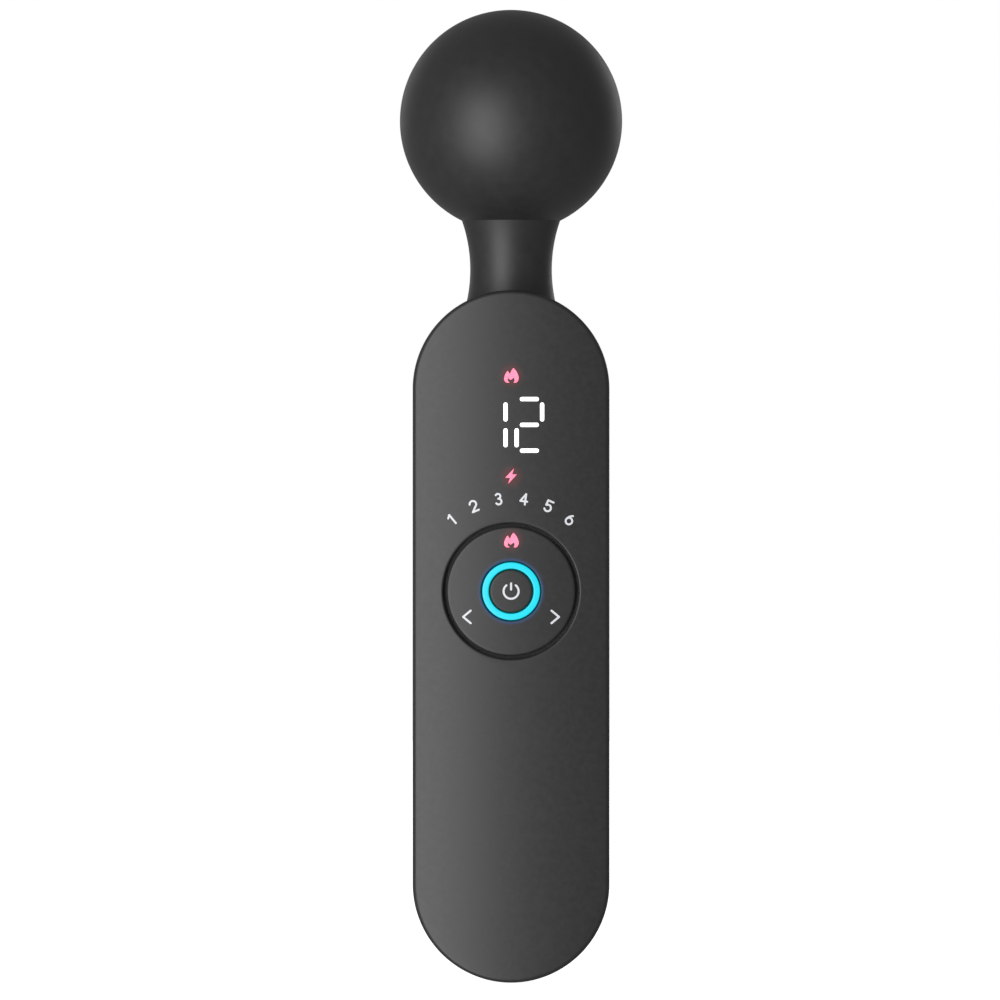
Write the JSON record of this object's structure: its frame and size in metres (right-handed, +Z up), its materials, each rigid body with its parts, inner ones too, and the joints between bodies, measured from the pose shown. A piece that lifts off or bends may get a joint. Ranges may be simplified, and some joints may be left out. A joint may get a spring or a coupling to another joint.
{
  "type": "handheld wand massager",
  "caption": "Cordless wand massager: ball head on a short flexible neck, flat stadium handle with a lit display, a rocking round control pad and a ringed power button.",
  "frame": {"origin": "tip of the rounded tail, on the wand's long axis", "axes": "+Z up the wand towards the ball head, -Y out of the front panel, +X to the right of someone facing the panel"},
  "size_m": [0.0464, 0.0464, 0.2025],
  "materials": {
    "soft_touch_panel": "fine satin soft-touch charcoal",
    "soft_touch_pad": "fine satin soft-touch charcoal",
    "satin_housing": "satin black moulded plastic",
    "seal_rubber": "matte black silicone seal",
    "black_silicone": "velvety matte silicone",
    "white_light": "lit white window",
    "grey_white_print": "dimly lit white window",
    "red_light": "lit red window",
    "cyan_light": "lit cyan light guide",
    "inner_black_plastic": "plain moulded black",
    "milky_plastic": "milky diffuser",
    "board_green": "solder-masked circuit board",
    "bright_steel": "plated steel",
    "battery_wrap": "heat-shrink sleeve",
    "lead_insulation": "lead insulation",
    "copper_film": "etched heating film",
    "heavy_metal": "sintered dense metal"
  },
  "bodies": {
    "handle": {"front_panel": "soft_touch_panel", "rear_housing": "satin_housing", "housing_gasket": "seal_rubber", "digit_windows": "white_light", "status_windows": "red_light", "level_windows": "grey_white_print", "light_ring": "cyan_light", "display_frame": "inner_black_plastic", "segment_diffusers": "milky_plastic", "icon_baffles": "inner_black_plastic", "level_baffle": "inner_black_plastic", "main_board": "board_green", "board_components": "inner_black_plastic", "board_leds": "milky_plastic", "snap_domes": "bright_steel", "pad_carrier": "inner_black_plastic", "charge_socket": "inner_black_plastic", "battery_cell": "battery_wrap", "battery_cradle": "inner_black_plastic", "battery_leads": "lead_insulation", "board_screws": "bright_steel", "neck_base": "inner_black_plastic", "neck_screws": "bright_steel", "neck_sleeve": "black_silicone"},
    "gimbal": {"pad_gimbal": "bright_steel"},
    "pad": {"control_pad": "soft_touch_pad", "pad_arrows": "grey_white_print", "pad_flame": "red_light"},
    "button": {"power_button": "soft_touch_pad", "power_sign": "grey_white_print"},
    "neck_link": {"neck_ball": "inner_black_plastic"},
    "head": {"neck_top": "inner_black_plastic", "head_shell_lower": "inner_black_plastic", "head_shell_upper": "inner_black_plastic", "head_cover": "black_silicone", "heater_film": "copper_film", "thermistor": "lead_insulation", "motor_can": "bright_steel", "motor_cradle": "inner_black_plastic", "cradle_screws": "bright_steel"},
    "rotor": {"motor_shaft": "bright_steel", "eccentric_weight": "heavy_metal"}
  },
  "joints": [
    {"name": "neck_tilt", "type": "hinge", "parent": "handle", "child": "neck_link", "pos_m": [0, 0, 0.15], "axis": [1, 0, 0], "range_deg": [-15, 15], "stiffness_Nm_per_rad": 2, "deforming": ["neck_sleeve"]},
    {"name": "neck_sway", "type": "hinge", "parent": "neck_link", "child": "head", "pos_m": [0, 0, 0.15], "axis": [0, 1, 0], "range_deg": [-15, 15], "stiffness_Nm_per_rad": 2},
    {"name": "motor_spin", "type": "hinge", "parent": "head", "child": "rotor", "pos_m": [0, 0, 0.18], "axis": [0, 0, 1], "continuous": true},
    {"name": "power_press", "type": "slide", "parent": "handle", "child": "button", "axis": [0, 1, 0], "range_m": [0, 0.0003], "stiffness_N_per_m": 2000},
    {"name": "pad_rock", "type": "hinge", "parent": "handle", "child": "gimbal", "pos_m": [0, -0.0119, 0.0813], "axis": [1, 0, 0], "range_deg": [-1.5, 1.5], "stiffness_Nm_per_rad": 0.5},
    {"name": "pad_roll", "type": "hinge", "parent": "gimbal", "child": "pad", "pos_m": [0, -0.0119, 0.0813], "axis": [0, 0, 1], "range_deg": [-1.5, 1.5], "stiffness_Nm_per_rad": 0.5}
  ]
}
